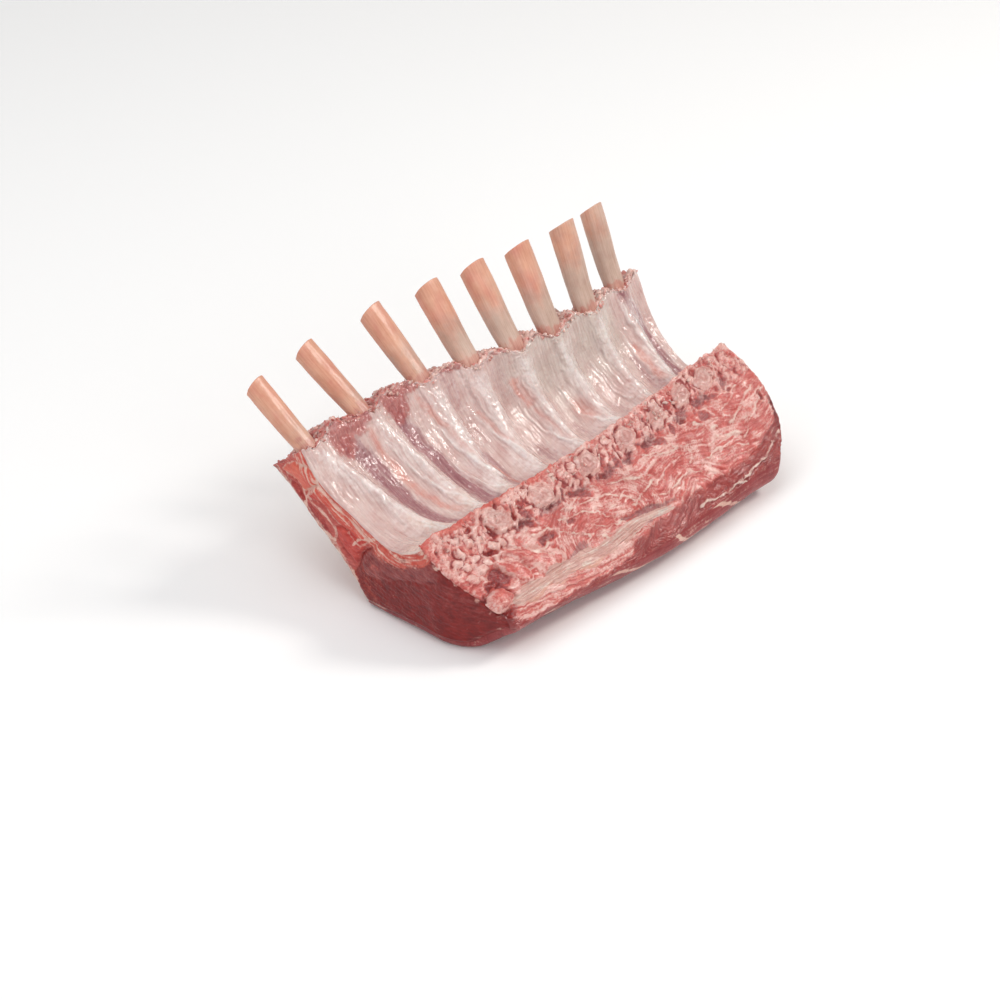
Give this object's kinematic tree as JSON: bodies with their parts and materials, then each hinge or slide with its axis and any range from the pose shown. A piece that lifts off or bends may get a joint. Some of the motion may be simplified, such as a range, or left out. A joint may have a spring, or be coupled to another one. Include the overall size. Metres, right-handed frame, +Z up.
{
  "type": "frenched rack of lamb",
  "caption": "Raw frenched rack of lamb lying on the back of its loin, with bare curved rib bones standing up behind a membrane-lined trough and a sawn chine face in front.",
  "frame": {"origin": "centre of the bounding box in plan, on the surface the loin lies on", "axes": "+X along the row of ribs, towards the end whose bones stand steepest; +Y towards the bones; +Z up"},
  "size_m": [0.2256, 0.1536, 0.1074],
  "materials": {
    "bone": "scraped clean, satin",
    "eye": "moist cut muscle, satin",
    "cap": "moist cut muscle, satin",
    "flank": "moist cut muscle, satin",
    "plate": "wet membrane, glossy",
    "chine": "sawn meat, bone and gristle, moist",
    "fat": "fat, satin",
    "ligament": "stranded ligament, moist"
  },
  "bodies": {
    "root": {"rib_1": "bone", "rib_2": "bone", "rib_3": "bone", "rib_4": "bone", "rib_5": "bone", "rib_6": "bone", "rib_7": "bone", "rib_8": "bone", "backstrap": "ligament", "chine": "chine", "rib_plate": "plate", "rib_cap": "cap", "flank": "flank", "fat_cover": "fat", "loin_eye": "eye"}
  },
  "joints": []
}
